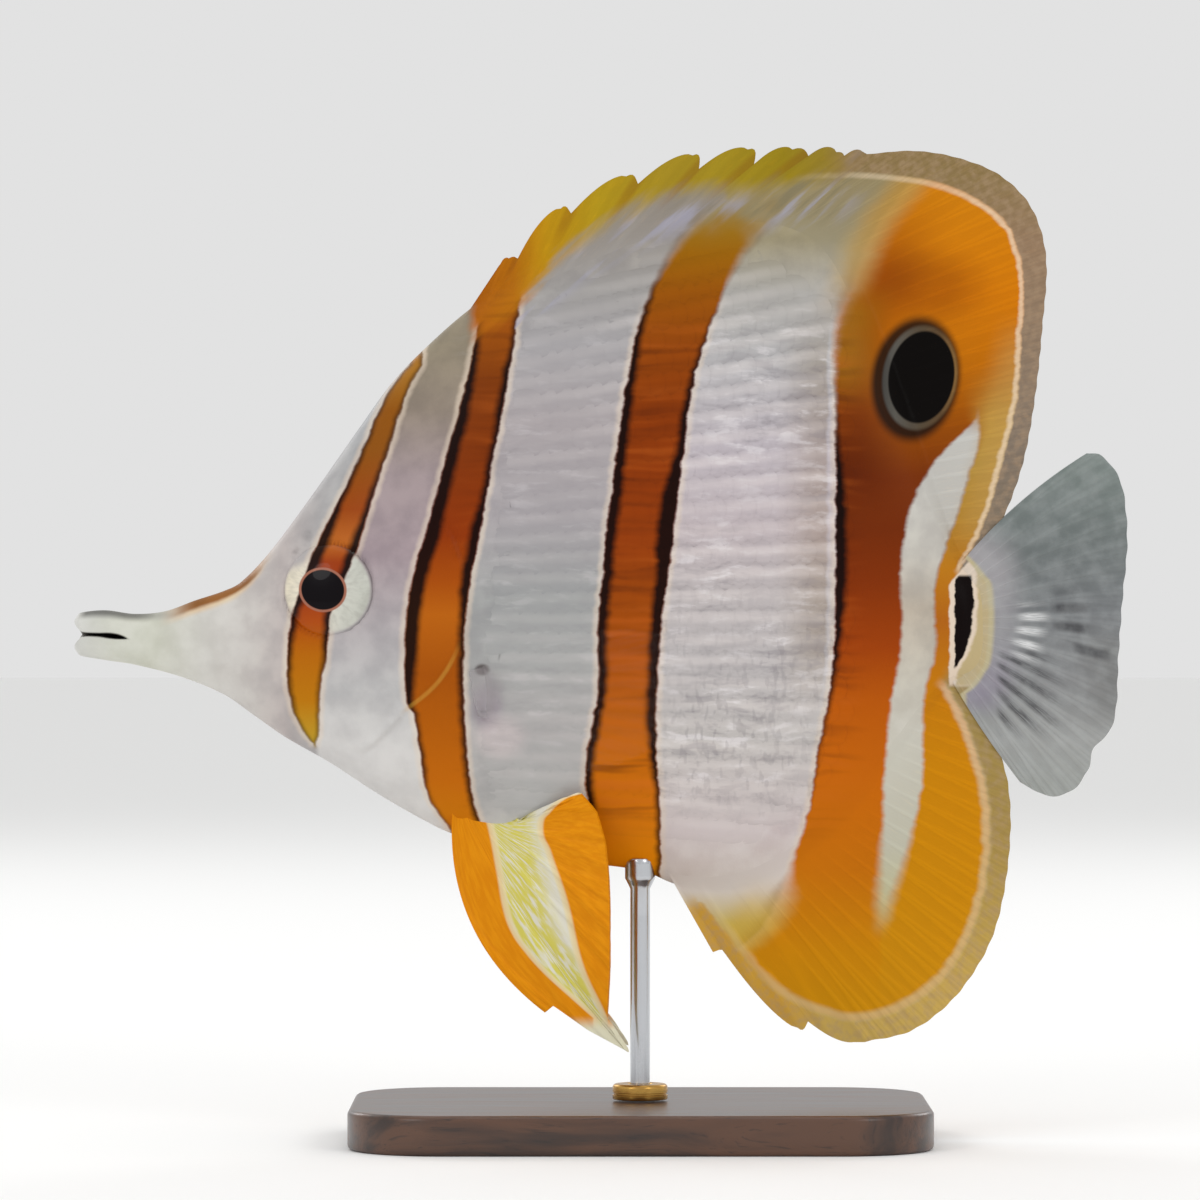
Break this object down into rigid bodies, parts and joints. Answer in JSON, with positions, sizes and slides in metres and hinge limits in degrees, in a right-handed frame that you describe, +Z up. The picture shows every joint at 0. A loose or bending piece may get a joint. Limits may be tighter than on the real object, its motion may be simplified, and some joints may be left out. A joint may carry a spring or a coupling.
{
  "type": "copperband butterflyfish model on stand",
  "caption": "Life-size copperband butterflyfish, disc-shaped with a long snout and upright fins, held level on a rod over a flat base.",
  "frame": {"origin": "centre of the stand base's flat underside", "axes": "+Z up, -X towards the snout, -Y towards the fish's left side"},
  "size_m": [0.1605, 0.06, 0.151],
  "materials": {
    "skin": "moist fine scales, silvery white with copper bars edged in black",
    "fin": "satin membrane over fine rays, orange and yellow",
    "clear_fin": "thin clear membrane over fine rays",
    "eye": "wet gloss, black pupil in a silver iris",
    "base_wood": "dark stained hardwood, satin lacquer",
    "rod_steel": "fine brushed",
    "collar_brass": "turned, satin"
  },
  "bodies": {
    "root": {"upper_jaw": "skin", "lower_jaw": "skin", "snout": "skin", "head": "skin", "gill_cover_left": "skin", "gill_cover_right": "skin", "eye_left": "eye", "eye_right": "eye", "trunk": "skin", "tail_stalk": "skin", "dorsal_fin_spiny": "fin", "dorsal_fin_soft": "fin", "anal_fin": "fin", "tail_fin": "clear_fin", "pectoral_fin_left": "clear_fin", "pectoral_fin_right": "clear_fin", "pelvic_fin_left": "fin", "pelvic_fin_right": "fin", "stand_base": "base_wood", "stand_rod": "rod_steel", "stand_collar": "collar_brass"}
  },
  "joints": []
}
